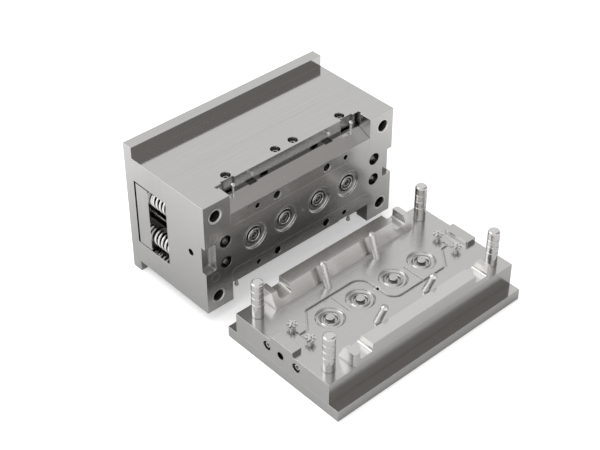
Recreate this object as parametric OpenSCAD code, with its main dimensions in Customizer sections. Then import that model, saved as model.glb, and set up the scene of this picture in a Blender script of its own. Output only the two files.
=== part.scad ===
// Two-plate injection mould with two slides, opened and set out for inspection.
// The moving half stands on its long edge and the fixed half lies on its back in front of it.
// Millimetres. X runs along the plates, the front is at -Y and Z is up, with the floor at Z = 0.

/* [Plates] */
// Length of every plate, along X
plate_length = 400; // [395:1:410]
// Width of the plates between their long edges
plate_width = 207; // [206:1:212]
// How far a clamp plate stands out past the long edges of the other plates
lip = 20; // [15:1:25]
// Thickness of each clamp plate
clamp_thickness = 20; // [18:1:24]
// Thickness of the core plate, which carries the cores and the slides
core_thickness = 93; // [92:1:98]
// Thickness of the cavity plate
cavity_thickness = 40; // [39:1:44]
// Depth of the spacer rails, from the core plate to the clamp plate
rail_depth = 81; // [78:1:90]
// Thickness of each spacer rail
rail_thickness = 42; // [40:1:42]

/* [Set-out] */
// Free space on the floor between the two halves
half_gap = 43; // [40:1:120]
// Sideways offset of one half from the other
half_offset = 5; // [0:1:20]

/* [Ejector] */
// Stroke of the ejector plates
ejector_stroke = 30; // [20:1:32]
// Thickness of the plate that holds the pin heads
retainer_thickness = 14; // [13:1:15]
// Thickness of the plate that pushes the pins
ejector_thickness = 17; // [16:1:18]
// Diameter of the four return pins
return_pin_d = 15; // [12:0.5:16]
// Diameter of the pin in the middle of each round core
ejector_pin_d = 10; // [8:0.5:10]

/* [Guiding] */
// Diameter of the four leader pins
leader_pin_d = 20; // [18:0.5:20]
// Height of the leader pins above the parting face
leader_pin_height = 67; // [60:1:80]
// Outside diameter of the guide bushes
bush_d = 26; // [25:0.5:27]

/* [Slides] */
// Travel of each slide
slide_travel = 16.5; // [14:0.5:16.5]
// Lean of the angle pins from the opening direction, in degrees
angle_pin_lean = 20.5; // [19:0.5:21]
// Diameter of the angle pins
angle_pin_d = 12; // [10:0.5:12]
// Diameter of the pins that form the side holes
side_core_d = 6; // [4:0.5:7]

/* [Moulded shapes] */
// Diameter of the round recesses in both parting faces
cavity_d = 48.5; // [46:0.5:49]
// Diameter of the four tube cavities
tube_d = 22; // [20:0.5:23]
// Width of the runner groove
runner_w = 5; // [4:0.2:5.2]
// Depth of the runner groove
runner_depth = 2.2; // [1.6:0.2:3]
// Width of the narrow groove between two cavities
gate_w = 1.8; // [1.2:0.2:2.4]

/* [Hidden] */
$fn = 64;
half_width = plate_width / 2;
half_length = plate_length / 2;
moving_depth = core_thickness + rail_depth + clamp_thickness;
total_depth = plate_width + 2 * lip + half_gap + moving_depth;
parting_y = total_depth / 2 - moving_depth;
fixed_y = -total_depth / 2 + half_width + lip;
parting_z = clamp_thickness + cavity_thickness;
clearance = 0.05;
eps = 0.01;

// Slide and heel, measured from the middle of the plate and from the parting face
slide_half_length = half_length - 52.2;
slide_side_gap = 0.2;
slide_inner = half_width * 43 / 103.5;
slide_foot = half_width * 67.5 / 103.5;
slide_depth = 31;
slide_crest_depth = 26;
heel_height = 25.3;
heel_angle = 25;
slide_crest = slide_foot + slide_crest_depth * tan(heel_angle);
slide_corner_r = 6;
slide_back_gap = 0.1;
lip_x = 4;
lip_y = 6;
notch_depth = 4;
stop_pin_d = 6;
stop_x = half_length * 0.4;
stop_z = slide_crest - notch_depth + slide_travel + stop_pin_d / 2 + 0.1;
rod_x = slide_half_length - 23.8;
rod_depth = 21;
rod_d = 5;
spring_hole = 20;
rod_top = half_width - 1;
rod_root = 18;
rod_knob_r = 3.5;
heel_half_length = slide_half_length + 1.2;
heel_notch_x = rod_x + 1;
heel_notch_w = 26;
heel_notch_floor = 11;

// Angle pins
angle_x = half_length * 0.265;
angle_root = slide_inner + 11;
angle_tip = 44;
angle_cut_w = 17;

// Leader pins, bushes and return pins
leader_x = half_length - 23;
leader_off = half_width - 25;
return_x = half_length - 18.5;
spring_r = 15.5;
spring_wire = 4.2;
spring_turns = 9.5;
spring_pocket = 30;
stop_gap = 4;
retainer_y = core_thickness + rail_depth - stop_gap - ejector_thickness - retainer_thickness;
spring_length = retainer_y - core_thickness + spring_pocket;
ejector_y = retainer_y + retainer_thickness;
window_half = half_width - rail_thickness;
return_off = window_half - spring_r - 7.5;

// Round cavities, tube cavities and the coolant holes
cavity_x = half_length * [-0.5, -0.18, 0.18, 0.5];
cavity_r = cavity_d / 2;
core_insert_y = 36;
boss_r = 7.4;
boss_rise = 2.6;
tube_x = half_length - 40.5;
tube_off = 20.5;
tube_depth = 45;
channel_x = [80.5 - half_length, -18.5, 18.5, half_length - 80.5];
channel_y = 43.5;
channel_r = 4;
port_depth = 11;
port_z = 43;
port_off = 32.5;

// Screws, the locating ring and the head of the sprue bush
plate_screw_d = 12;
heel_screw_d = 10;
ring_r = 45;
ring_bore_r = 25;
ring_depth = 8;
bush_head_r = 19;

// Moving half: X across, Y into the half from its parting face, Z up from the plate's middle
module in_moving() {
  translate([-half_offset / 2, parting_y, half_width + lip]) children();
}

// Fixed half: X and Y from the plate's middle, Z up from its clamping face
module in_fixed() {
  translate([half_offset / 2, fixed_y, 0]) children();
}

// The lower side of the moving half is the upper side turned over
module side(s) {
  mirror([0, 0, s < 0 ? 1 : 0]) children();
}

// A round bar along +Y from the point given
module bar_y(x, y, z, r, l) {
  translate([x, y, z]) rotate([-90, 0, 0]) cylinder(h = l, r = r);
}

// A round bar along +X from the point given
module bar_x(x, y, z, r, l) {
  translate([x, y, z]) rotate([0, 90, 0]) cylinder(h = l, r = r);
}

module four(x, z) {
  for (sx = [-1, 1], sz = [-1, 1]) translate([sx * x, 0, sz * z]) children();
}

// Socket-head screw along -Y, with the top of its head at y = 0
module screw_y(d, l) {
  difference() {
    union() {
      bar_y(0, -d, 0, d * 0.75, d);
      bar_y(0, -l, 0, d / 2, l - d + eps);
    }
    translate([0, -d / 2, 0]) rotate([-90, 0, 0]) cylinder(h = d, r = d * 0.46, $fn = 6);
  }
}

// The same screw along +Z, with the top of its head at z = 0
module screw_z(d, l) {
  difference() {
    union() {
      cylinder(h = d, r = d * 0.75);
      translate([0, 0, d - eps]) cylinder(h = l - d, r = d / 2);
    }
    translate([0, 0, -d / 2]) cylinder(h = d, r = d * 0.46, $fn = 6);
  }
}

// Helical spring along +Z, wound from the floor of its seat
function spring_ring(r, wire, a, z, n) =
  [for (k = [0:n - 1])
    let (b = 360 * k / n)
    [(r + wire / 2 * cos(b)) * cos(a), (r + wire / 2 * cos(b)) * sin(a), z + wire / 2 * sin(b)]];

module spring(r, wire, l, turns, per_turn, n) {
  steps = round(turns * per_turn);
  rise = l - wire;
  points = [for (i = [0:steps])
    each spring_ring(r, wire, 360 * i / per_turn, wire / 2 + rise * i / steps, n)];
  walls = [for (i = [0:steps - 1], k = [0:n - 1])
    [i * n + k, (i + 1) * n + k, (i + 1) * n + (k + 1) % n, i * n + (k + 1) % n]];
  first = [[for (k = [0:n - 1]) k]];
  last = [[for (k = [n - 1:-1:0]) steps * n + k]];
  polyhedron(points = points, faces = concat(walls, first, last), convexity = 4);
}

// Plates of the moving half

clamp_screw_x = half_length * [-0.65, -0.225, 0.225, 0.65];
rail_middle = half_width - rail_thickness / 2;

module moving_screw_holes(r) {
  for (x = clamp_screw_x, s = [-1, 1]) bar_y(x, core_thickness - 24, s * rail_middle, r, moving_depth);
}

module moving_clamp_plate() {
  color("silver") in_moving() difference() {
    translate([-half_length, core_thickness + rail_depth, -half_width - lip])
      cube([plate_length, clamp_thickness, plate_width + 2 * lip]);
    moving_screw_holes(plate_screw_d / 2);
    for (x = clamp_screw_x, s = [-1, 1])
      bar_y(x, moving_depth - 13, s * rail_middle, 9.5, 20);
    bar_y(0, core_thickness + rail_depth - 1, 0, 16, clamp_thickness + 2);
  }
}

module rail(s) {
  difference() {
    translate([-half_length, core_thickness, s > 0 ? window_half : -half_width])
      cube([plate_length, rail_depth, rail_thickness]);
    moving_screw_holes(plate_screw_d / 2);
  }
}

module spacer_rail_top() {
  color("silver") in_moving() rail(1);
}

module spacer_rail_bottom() {
  color("silver") in_moving() rail(-1);
}

// Outline of a slide seen on the parting face, with its two inner corners rounded
module slide_outline(half, inner, outer, depth, r) {
  translate([-half, 0, inner + r]) cube([2 * half, depth, outer - inner - r]);
  translate([-half + r, 0, inner]) cube([2 * (half - r), depth, outer - inner]);
  for (s = [-1, 1]) bar_y(s * (half - r), 0, inner + r, r, depth);
}

module slide_pocket() {
  pocket_half = slide_half_length + slide_side_gap;
  translate([0, -1, 0])
    slide_outline(pocket_half, slide_inner, half_width + 1, slide_depth + 1, slide_corner_r);
  for (s = [-1, 1]) {
    translate([s * pocket_half - (s < 0 ? lip_x : 1), slide_depth - lip_y, slide_inner + 8])
      cube([lip_x + 1, lip_y, plate_width]);
    translate([s * angle_x - angle_cut_w / 2, slide_depth - 1, slide_inner + 3])
      cube([angle_cut_w, 15, 37.5]);
    translate([s * heel_notch_x - heel_notch_w / 2, slide_depth - 1, slide_foot])
      cube([heel_notch_w, 4.5, plate_width]);
    translate([s * rod_x, rod_depth, slide_inner - rod_root])
      cylinder(h = rod_root + 12, r = rod_d / 2);
    bar_y(s * stop_x, slide_depth - 1, stop_z, stop_pin_d / 2, 13);
  }
}

module core_plate() {
  color("silver") in_moving() difference() {
    translate([-half_length, 0, -half_width]) cube([plate_length, core_thickness, plate_width]);
    for (s = [-1, 1]) side(s) {
      slide_pocket();
      for (x = channel_x) {
        translate([x, channel_y, -1]) cylinder(h = plate_width, r = channel_r);
        translate([x, channel_y, half_width - port_depth]) cylinder(h = port_depth + 1, r = 8.3);
      }
      for (x = cavity_x)
        translate([x, 8, 10]) cylinder(h = slide_inner, r = side_core_d / 2 + clearance);
    }
    for (x = cavity_x) {
      bar_y(x, -1, 0, cavity_r + 0.25, core_insert_y + 1);
      bar_y(x, 0, 0, ejector_pin_d / 2 + clearance, core_thickness + 1);
      for (s = [-1, 1]) {
        bar_y(x, 0, s * 17, 2.5, core_thickness);
        bar_y(x, core_insert_y + 20, s * 17, 5, core_thickness);
      }
    }
    for (sx = [-1, 1], sz = [-1, 1]) {
      bar_y(sx * tube_x, -1, sz * tube_off, tube_d / 2, tube_depth + 1);
      bar_y(sx * tube_x, 0, sz * tube_off, 5, core_thickness);
      bar_y(sx * tube_x, core_thickness - 5, sz * tube_off, 7.5, 6);
      for (k = [-1, 1])
        bar_y(sx * tube_x, 0, sz * tube_off + k * 8, 2 + clearance, core_thickness + 1);
      bar_y(sx * leader_x, -1, sz * leader_off, bush_d / 2, core_thickness + 2);
      bar_y(sx * leader_x, core_thickness - 6, sz * leader_off, bush_d / 2 + 2.5, 7);
      bar_y(sx * return_x, -1, sz * return_off, return_pin_d / 2 + clearance, core_thickness + 2);
      bar_y(sx * return_x, core_thickness - spring_pocket, sz * return_off, spring_r + 0.8, 40);
    }
    bar_y(0, -1, 0, 3 + clearance, core_thickness + 2);
    for (s = [-1, 1]) {
      translate([s > 0 ? half_length - 20 : -half_length - 1, -1, -25])
        interlock_shape(21, 10, 51, 3);
      bar_x(s > 0 ? half_length - 30 : -half_length - 1, 35, 1, 6, 31);
    }
    moving_screw_holes(plate_screw_d / 2);
  }
}

// A block with two of its upright edges rounded, standing along +Y
module interlock_shape(w, d, h, r) {
  translate([0, 0, r]) cube([w, d, h - 2 * r]);
  translate([r, 0, 0]) cube([w - 2 * r, d, h]);
  for (x = [r, w - r], z = [r, h - r]) bar_y(x, 0, z, r, d);
}

// Cores, bushes and small pieces of the moving half

module core_insert() {
  rotate([-90, 0, 0]) rotate_extrude() polygon([
    [ejector_pin_d / 2 + clearance, core_insert_y], [cavity_r + 0.25, core_insert_y],
    [cavity_r + 0.25, 0.6], [cavity_r - 0.35, 0], [cavity_r - 1, 0.4], [cavity_r - 1.7, 2.8],
    [cavity_r - 2.6, 3.4], [16.6, 3.6], [16, 3], [16, 14], [12.4, 14], [12.4, 2.6], [11.6, 1.4],
    [10.2, 1.2], [9.4, 2.2], [9.4, 6], [boss_r, 6], [boss_r, boss_rise + 0.6],
    [boss_r - 0.6, boss_rise], [ejector_pin_d / 2 + clearance, boss_rise]
  ]);
}

module core_inserts() {
  color("gainsboro") in_moving() for (x = cavity_x) translate([x, 0, 0]) difference() {
    core_insert();
    for (s = [-1, 1]) {
      side(s) translate([0, 8, 10]) cylinder(h = 30, r = side_core_d / 2 + clearance);
      bar_y(0, core_insert_y - 12, s * 17, 2.5, 20);
    }
  }
}

module core_insert_screws() {
  color("dimgray") in_moving() for (x = cavity_x, s = [-1, 1])
    translate([x, core_insert_y + 25, s * 17]) screw_y(5, 35);
}

module tube_cores() {
  color("gainsboro") in_moving() four(tube_x, tube_off) {
    bar_y(0, 18.5, 0, 5, core_thickness - 18.5);
    intersection() {
      bar_y(0, core_thickness - 5, 0, 7.5, 5);
      translate([-8, core_thickness - 6, -5.5]) cube([16, 8, 11]);
    }
    translate([0, 18.5, 0]) rotate([90, 0, 0]) cylinder(h = 1.5, r1 = 5, r2 = 3.5);
  }
}

module guide_bushes() {
  color("gainsboro") in_moving() four(leader_x, leader_off) difference() {
    union() {
      bar_y(0, 0, 0, bush_d / 2, core_thickness);
      bar_y(0, core_thickness - 6, 0, bush_d / 2 + 2.5, 6);
    }
    bar_y(0, -1, 0, leader_pin_d / 2 + clearance, core_thickness + 2);
    translate([0, -eps, 0]) rotate([-90, 0, 0])
      cylinder(h = 1.2, r1 = leader_pin_d / 2 + 1.2, r2 = leader_pin_d / 2 + clearance);
  }
}

module slide_rods() {
  color("gainsboro") in_moving() for (s = [-1, 1], sx = [-1, 1]) side(s)
    translate([sx * rod_x, rod_depth, 0]) {
      translate([0, 0, slide_inner - rod_root])
        cylinder(h = rod_top - rod_knob_r + 0.5 - slide_inner + rod_root, r = rod_d / 2);
      translate([0, 0, rod_top - rod_knob_r]) sphere(r = rod_knob_r);
    }
}

module slide_stop_pins() {
  color("gainsboro") in_moving() for (s = [-1, 1], sx = [-1, 1]) side(s)
    bar_y(sx * stop_x, heel_height + 0.3, stop_z, stop_pin_d / 2, slide_depth + 12 - heel_height - 0.3);
}

button_x = half_length * [-0.75, -0.3, 0.3, 0.75];

module stop_buttons() {
  color("dimgray") in_moving() for (x = button_x, s = [-1, 1])
    bar_y(x, core_thickness + rail_depth - stop_gap, s * (window_half - 21.5), 8, stop_gap);
}

module return_springs() {
  color("gray") in_moving() four(return_x, return_off)
    translate([0, core_thickness - spring_pocket, 0]) rotate([-90, 0, 0])
      spring(spring_r - spring_wire / 2, spring_wire, spring_length, spring_turns, 16, 6);
}

module moving_half_screws() {
  color("dimgray") in_moving() for (x = clamp_screw_x, s = [-1, 1])
    translate([x, moving_depth - 1, s * rail_middle])
      screw_y(plate_screw_d, moving_depth - core_thickness + 20);
}

module nipple(r, bore, l) {
  difference() {
    union() {
      cylinder(h = l, r = r);
      cylinder(h = l * 0.4, r = r + 1);
    }
    translate([0, 0, -1]) cylinder(h = l + 2, r = bore);
  }
}

module moving_coolant_nipples() {
  color("gainsboro") in_moving() for (x = channel_x, s = [-1, 1]) side(s)
    translate([x, channel_y, half_width - port_depth]) nipple(4.6, 3, port_depth - 5);
}

// Slides, each drawn for the upper side

module slide_block() {
  difference() {
    union() {
      intersection() {
        rotate([90, 0, 90])
          linear_extrude(height = 2 * slide_half_length, center = true)
            polygon([[0, slide_inner + 0.1], [0, slide_foot], [slide_crest_depth, slide_crest],
              [slide_depth - slide_back_gap, slide_crest],
              [slide_depth - slide_back_gap, slide_inner + 0.1]]);
        slide_outline(slide_half_length, slide_inner + 0.1, half_width, slide_depth,
          slide_corner_r + 0.3);
      }
      for (s = [-1, 1])
        translate([s > 0 ? slide_half_length - 1 : -slide_half_length - lip_x + slide_side_gap,
          slide_depth - lip_y + 0.2, slide_inner + 9])
          cube([lip_x + 1 - slide_side_gap, lip_y - 0.2 - slide_back_gap,
            slide_crest - slide_inner - 10]);
    }
    for (s = [-1, 1]) {
      translate([s * angle_x, 0, angle_root + 1.2]) rotate([-90 + angle_pin_lean, 0, 0])
        translate([0, 0, -20]) cylinder(h = 80, r = angle_pin_d / 2 + 1);
      bar_y(s * angle_x, -1, angle_root + 1.5, angle_pin_d / 2 + 1.8, 2.2);
      bar_y(s * half_length * 0.4675, -1, slide_inner + 13, 4.75, 15);
      translate([s * stop_x - 8.5, slide_crest_depth - 2, slide_crest - notch_depth])
        cube([17, 10, 10]);
      translate([s * rod_x, rod_depth, 0]) cylinder(h = half_width, r = rod_d / 2 + 0.08);
      translate([s * rod_x, rod_depth, slide_inner - 1]) cylinder(h = spring_hole + 1, r = 4.6);
    }
    for (x = cavity_x) translate([x, 8, slide_inner - 1]) cylinder(h = 15, r = side_core_d / 2);
  }
}

module side_core_set() {
  for (x = cavity_x) translate([x, 8, 16.2]) cylinder(h = slide_inner + 14 - 16.2, r = side_core_d / 2);
}

module slide_spring_set() {
  for (s = [-1, 1]) translate([s * rod_x, rod_depth, slide_inner + 0.1])
    spring(3.6, 1, spring_hole - 0.2, 9, 12, 5);
}

module slide_top() {
  color("silver") in_moving() slide_block();
}

module slide_bottom() {
  color("silver") in_moving() side(-1) slide_block();
}

module side_cores_top() {
  color("gainsboro") in_moving() side_core_set();
}

module side_cores_bottom() {
  color("gainsboro") in_moving() side(-1) side_core_set();
}

module slide_springs_top() {
  color("gray") in_moving() slide_spring_set();
}

module slide_springs_bottom() {
  color("gray") in_moving() side(-1) slide_spring_set();
}

// Ejector plates and their pins

ejector_screw_x = half_length * [-0.65, 0, 0.65];
ejector_screw_z = window_half - 11.5;
ejector_half = window_half - 1.4;

module ejector_screw_holes(r, y, l) {
  for (x = ejector_screw_x, s = [-1, 1]) bar_y(x, y, s * ejector_screw_z, r, l);
}

module ejector_retainer_plate() {
  color("silver") in_moving() difference() {
    translate([-half_length, retainer_y, -ejector_half])
      cube([plate_length, retainer_thickness, 2 * ejector_half]);
    for (x = cavity_x) {
      bar_y(x, retainer_y - 1, 0, ejector_pin_d / 2, 40);
      bar_y(x, ejector_y - 5, 0, 7, 40);
    }
    for (sx = [-1, 1], sz = [-1, 1]) {
      for (k = [-1, 1]) {
        bar_y(sx * tube_x, retainer_y - 1, sz * tube_off + k * 8, 2, 40);
        bar_y(sx * tube_x, ejector_y - 4, sz * tube_off + k * 8, 4, 40);
      }
      bar_y(sx * return_x, retainer_y - 1, sz * return_off, return_pin_d / 2, 40);
      bar_y(sx * return_x, ejector_y - 6, sz * return_off, return_pin_d / 2 + 2.5, 40);
    }
    bar_y(0, retainer_y - 1, 0, 3, 40);
    bar_y(0, ejector_y - 4, 0, 5, 40);
    ejector_screw_holes(4, retainer_y + 3, 40);
  }
}

module ejector_plate() {
  color("silver") in_moving() difference() {
    translate([-half_length, ejector_y, -ejector_half])
      cube([plate_length, ejector_thickness, 2 * ejector_half]);
    ejector_screw_holes(4, ejector_y - 1, 40);
    ejector_screw_holes(6.5, ejector_y + ejector_thickness - 9, 40);
  }
}

module ejector_pins() {
  color("gainsboro") in_moving() {
    for (x = cavity_x) {
      bar_y(x, 12, 0, ejector_pin_d / 2, ejector_y - 12);
      bar_y(x, ejector_y - 5, 0, 7, 5);
    }
    for (sx = [-1, 1], sz = [-1, 1], k = [-1, 1]) {
      bar_y(sx * tube_x, tube_depth, sz * tube_off + k * 8, 2, ejector_y - tube_depth);
      bar_y(sx * tube_x, ejector_y - 4, sz * tube_off + k * 8, 4, 4);
    }
  }
}

module return_pins() {
  color("gainsboro") in_moving() four(return_x, return_off) {
    bar_y(0, 0, 0, return_pin_d / 2, ejector_y);
    bar_y(0, ejector_y - 6, 0, return_pin_d / 2 + 2.5, 6);
  }
}

module sprue_puller() {
  color("gainsboro") in_moving() {
    bar_y(0, 0.4, 0, 3, ejector_y - 0.4);
    bar_y(0, ejector_y - 4, 0, 5, 4);
  }
}

module ejector_screws() {
  color("dimgray") in_moving() for (x = ejector_screw_x, s = [-1, 1])
    translate([x, ejector_y + ejector_thickness - 1, s * ejector_screw_z]) screw_y(8, ejector_thickness + 9);
}

// Plates of the fixed half

fixed_screw_x = half_length * [-0.675, -0.375, 0.375, 0.675];
fixed_screw_y = half_width - 28.5;
heel_screw_x = half_length * [-0.5, -0.1, 0.1, 0.5];
heel_screw_y = half_width - 13.5;

module fixed_clamp_plate() {
  color("silver") in_fixed() difference() {
    translate([-half_length, -half_width - lip, 0])
      cube([plate_length, plate_width + 2 * lip, clamp_thickness]);
    translate([0, 0, -1]) cylinder(h = ring_depth + 1, r = ring_r);
    translate([0, 0, -1]) cylinder(h = clamp_thickness + 2, r = bush_head_r);
    for (x = fixed_screw_x, s = [-1, 1]) translate([x, s * fixed_screw_y, 0]) {
      translate([0, 0, -1]) cylinder(h = clamp_thickness + 2, r = plate_screw_d / 2);
      translate([0, 0, -1]) cylinder(h = plate_screw_d + 2, r = plate_screw_d * 0.75 + 0.5);
    }
  }
}

// Runner: from the sprue round an S-bend and along both rows to the tube posts
function unit(v) = v / norm(v);
function left_of(v) = [-v[1], v[0]];
function miter(a, b, c) =
  let (u = left_of(unit(b - a)), v = left_of(unit(c - b)), m = unit(u + v)) m / (m * u);
function edge_point(p, i, w) =
  let (n = len(p))
  p[i] + w / 2 * (i == 0 ? left_of(unit(p[1] - p[0]))
    : i == n - 1 ? left_of(unit(p[n - 1] - p[n - 2]))
    : miter(p[i - 1], p[i], p[i + 1]));

runner_bend = 20;
runner_row = slide_inner - 6.5;
gate_x = half_length * 0.3375;
runner_left = concat(
  [for (p = [[0, 2.5], [11.5, 2.8], [13.9, 3.4], [15.9, 4.7], [17.5, 6.4],
    [39.2, runner_row - 3.5], [40.8, runner_row - 1.7], [42.9, runner_row - 0.5],
    [45.5, runner_row]]) [p[0] - tube_x, p[1]]],
  [for (a = [90:-10:0])
    [runner_bend * (cos(a) - 1), runner_row - runner_bend + runner_bend * sin(a)]]
);
runner_path = concat(runner_left, [for (i = [len(runner_left) - 1:-1:0]) -runner_left[i]]);

module runner() {
  last = len(runner_path) - 1;
  for (step = [[runner_w, 0.8], [runner_w - 1.8, runner_depth]])
    translate([0, 0, parting_z - step[1]]) linear_extrude(height = 10)
      polygon(concat(
        [for (i = [0:last]) edge_point(runner_path, i, step[0])],
        [for (i = [last:-1:0]) edge_point(runner_path, i, -step[0])]));
  for (s = [-1, 1]) {
    translate([s * tube_x - 1.5, s < 0 ? -8 : -11, parting_z - runner_depth * 0.7])
      cube([3, 19, 10]);
    translate([s * gate_x - gate_w / 2, s < 0 ? -7.5 : -runner_row, parting_z - runner_depth * 0.5])
      cube([gate_w, runner_row + 7.5, 10]);
  }
}

// The line an angle pin lies on: from its head under the cavity plate to its tip
module angle_axis(sx, sy) {
  translate([sx * angle_x, sy * angle_root, parting_z])
    mirror([0, sy < 0 ? 1 : 0, 0]) rotate([-angle_pin_lean, 0, 0]) children();
}

module angle_pin_hole() {
  translate([0, 0, -60]) cylinder(h = 70, r = angle_pin_d / 2);
}

module angle_pin_heads(r, h) {
  for (sx = [-1, 1], sy = [-1, 1])
    translate([sx * angle_x, sy * (angle_root - cavity_thickness * tan(angle_pin_lean)), clamp_thickness])
      cylinder(h = h, r = r);
}

module cavity_plate() {
  color("silver") in_fixed() difference() {
    union() {
      translate([-half_length, -half_width, clamp_thickness])
        cube([plate_length, plate_width, cavity_thickness]);
      for (s = [-1, 1])
        translate([s > 0 ? half_length - 19.7 : -half_length, -24.5, parting_z - 1])
          interlock_block(19.7, 49, 8.5, 3, s);
    }
    for (x = cavity_x) {
      translate([x, 0, clamp_thickness - 1]) cylinder(h = 60, r = cavity_r);
      translate([x, 0, clamp_thickness - 1]) cylinder(h = 6, r = cavity_r + 3);
    }
    for (sx = [-1, 1], sy = [-1, 1]) {
      translate([sx * leader_x, sy * leader_off, clamp_thickness - 1]) {
        cylinder(h = 60, r = leader_pin_d / 2);
        cylinder(h = 7, r = leader_pin_d / 2 + 2.5);
      }
      translate([sx * tube_x, sy * tube_off, parting_z - 15]) cylinder(h = 20, r = 5);
      angle_axis(sx, sy) angle_pin_hole();
    }
    translate([0, 0, -eps]) angle_pin_heads(angle_pin_d / 2 + 2.5, 7);
    translate([0, 0, clamp_thickness - 1]) cylinder(h = 60, r = 6);
    for (s = [-1, 1]) {
      bar_x(-half_length - 1, s * port_off, port_z, channel_r - 0.5, plate_length + 2);
      for (e = [-1, 1])
        bar_x(e > 0 ? half_length - 9 : -half_length - 1, s * port_off, port_z, 8, 10);
    }
    bar_x(-half_length - 1, 2, port_z, 6.9, 26);
    for (x = fixed_screw_x, s = [-1, 1])
      translate([x, s * fixed_screw_y, clamp_thickness - 1])
        cylinder(h = 27, r = plate_screw_d / 2);
    for (x = heel_screw_x, s = [-1, 1]) translate([x, s * heel_screw_y, clamp_thickness - 1]) {
      cylinder(h = 60, r = heel_screw_d / 2);
      cylinder(h = 12, r = heel_screw_d * 0.75 + 0.5);
    }
    runner();
  }
}

// A block at an end of the parting face, rounded where it faces the middle
module interlock_block(w, l, h, r, s) {
  translate([s > 0 ? r : 0, 0, 0]) cube([w - r, l, h]);
  translate([0, r, 0]) cube([w, l - 2 * r, h]);
  for (y = [r, l - r]) translate([s > 0 ? r : w - r, y, 0]) cylinder(h = h, r = r);
}

// Heels that push the slides home, drawn for the back row
module heel_block() {
  inner_foot = slide_foot;
  difference() {
    rotate([90, 0, 90]) linear_extrude(height = 2 * heel_half_length, center = true)
      polygon([[inner_foot, 0], [half_width, 0], [half_width, heel_height],
        [inner_foot + heel_height * tan(heel_angle), heel_height]]);
    for (s = [-1, 1]) {
      translate([s * heel_notch_x, 0, 0]) {
        translate([-heel_notch_w / 2, 0, heel_notch_floor + 5]) cube([heel_notch_w, half_width + 1, 40]);
        translate([-heel_notch_w / 2 + 5, 0, heel_notch_floor]) cube([heel_notch_w - 10, half_width + 1, 40]);
        for (k = [-1, 1])
          bar_y(k * (heel_notch_w / 2 - 5), 0, heel_notch_floor + 5, 5, half_width + 1);
      }
      translate([s * heel_half_length, half_width, -1]) rotate([0, 0, 45])
        translate([-2.2, -2.2, 0]) cube([4.4, 4.4, 60]);
      translate([s * angle_x, angle_root, 0]) rotate([-angle_pin_lean, 0, 0])
        translate([0, 0, -20]) cylinder(h = 90, r = angle_pin_d / 2 + 0.5);
    }
    for (x = heel_screw_x) translate([x, heel_screw_y, -1]) cylinder(h = 17, r = heel_screw_d / 2);
  }
}

module heel_block_back() {
  color("silver") in_fixed() translate([0, 0, parting_z]) heel_block();
}

module heel_block_front() {
  color("silver") in_fixed() translate([0, 0, parting_z]) mirror([0, 1, 0]) heel_block();
}

// Cavities, pins and small pieces of the fixed half

module cavity_insert() {
  rotate_extrude() polygon([
    [0, clamp_thickness], [cavity_r + 3, clamp_thickness], [cavity_r + 3, clamp_thickness + 5],
    [cavity_r, clamp_thickness + 5], [cavity_r, parting_z - 0.5], [cavity_r - 0.9, parting_z - 2.4],
    [cavity_r - 2.4, parting_z - 3.8], [cavity_r - 4.5, parting_z - 4.4],
    [16.5, parting_z - 4], [14.6, parting_z - 2.8], [13.8, parting_z - 1.4], [12.6, parting_z - 1.2],
    [11.6, parting_z - 2], [10.8, parting_z - 4.6], [boss_r, parting_z - 4.6],
    [boss_r, parting_z + boss_rise - 0.7], [boss_r - 0.7, parting_z + boss_rise],
    [0, parting_z + boss_rise]
  ]);
}

module cavity_inserts() {
  color("gainsboro") in_fixed() for (x = cavity_x) translate([x, 0, 0]) cavity_insert();
}

module leader_pin() {
  r = leader_pin_d / 2;
  top = parting_z + leader_pin_height;
  rotate_extrude() polygon([
    [0, clamp_thickness], [r + 2.5, clamp_thickness], [r + 2.5, clamp_thickness + 6],
    [r, clamp_thickness + 6],
    for (y = [40.4, 27.8, 15.2]) each
      [[r, top - y - 1.2], [r - 0.8, top - y - 0.6], [r - 0.8, top - y + 0.6], [r, top - y + 1.2]],
    [r, top - 3], [r - 0.6, top - 1.4], [r - 2, top - 0.3], [r - 3, top], [0, top]
  ]);
}

module leader_pins() {
  color("gainsboro") in_fixed() for (sx = [-1, 1], sy = [-1, 1])
    translate([sx * leader_x, sy * leader_off, 0]) leader_pin();
}

module angle_pins() {
  reach = (angle_tip - 3) / cos(angle_pin_lean);
  color("gainsboro") in_fixed() {
    for (sx = [-1, 1], sy = [-1, 1]) intersection() {
      angle_axis(sx, sy) {
        translate([0, 0, -60]) cylinder(h = 60 + reach - 3, r = angle_pin_d / 2);
        translate([0, 0, reach - 3 - eps])
          cylinder(h = 4, r1 = angle_pin_d / 2, r2 = angle_pin_d / 2 - 3);
      }
      translate([-half_length, -half_width, clamp_thickness])
        cube([plate_length, plate_width, cavity_thickness + angle_tip + 10]);
    }
    angle_pin_heads(angle_pin_d / 2 + 2.5, 7 - eps);
  }
}

module tube_post() {
  cylinder(h = 15, r = 5);
  cylinder(h = 23, r = 3.4);
  translate([0, 0, 22]) {
    for (a = [0, 60, 120]) rotate([0, 0, a + 15])
      translate([-8.2, -1.6, 0]) cube([16.4, 3.2, 4.6]);
    cylinder(h = 5.4, r = 4.6);
    cylinder(h = 8.6, r = 1.7);
  }
}

module tube_posts() {
  color("gainsboro") in_fixed() for (sx = [-1, 1], sy = [-1, 1])
    translate([sx * tube_x, sy * tube_off, parting_z - 15]) tube_post();
}

module sprue_bush() {
  color("gainsboro") in_fixed() difference() {
    rotate_extrude() polygon([
      [2.2, ring_depth + 1.8], [7, ring_depth + 0.2], [bush_head_r, ring_depth + 0.2],
      [bush_head_r, clamp_thickness],
      [6, clamp_thickness], [6, parting_z], [3, parting_z]
    ]);
    runner();
  }
}

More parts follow.
